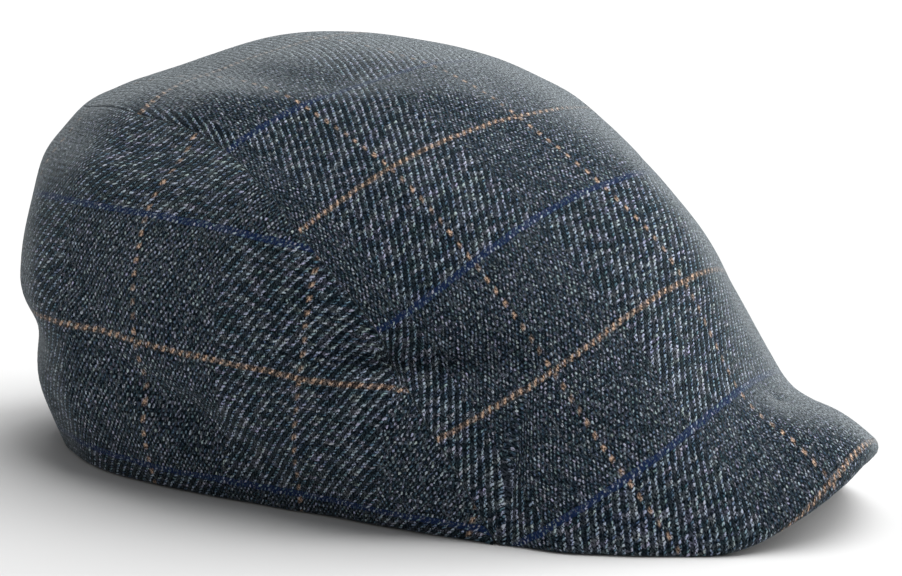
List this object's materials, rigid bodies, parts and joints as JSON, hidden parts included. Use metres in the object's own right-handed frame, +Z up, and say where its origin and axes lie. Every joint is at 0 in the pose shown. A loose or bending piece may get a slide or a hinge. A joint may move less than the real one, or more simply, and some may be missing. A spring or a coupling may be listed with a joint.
{
  "type": "flat cap",
  "caption": "Soft wool flat cap with a long top panel that runs on over a short curved bill, two side panels and an open hollow for the head.",
  "frame": {"origin": "middle of the outline seen from above, on the surface that the hem rests on", "axes": "+Z up, -Y towards the bill, -X towards the wearer's right"},
  "size_m": [0.1821, 0.276, 0.132],
  "materials": {
    "top_cloth": "dark blue-grey wool twill with an orange and blue overcheck",
    "side_cloth": "the same wool twill, cut along the side",
    "under_cloth": "plain dark cloth over the board of the peak"
  },
  "bodies": {
    "root": {"top_panel": "top_cloth", "side_panel_right": "side_cloth", "side_panel_left": "side_cloth", "peak": "under_cloth"}
  },
  "joints": []
}
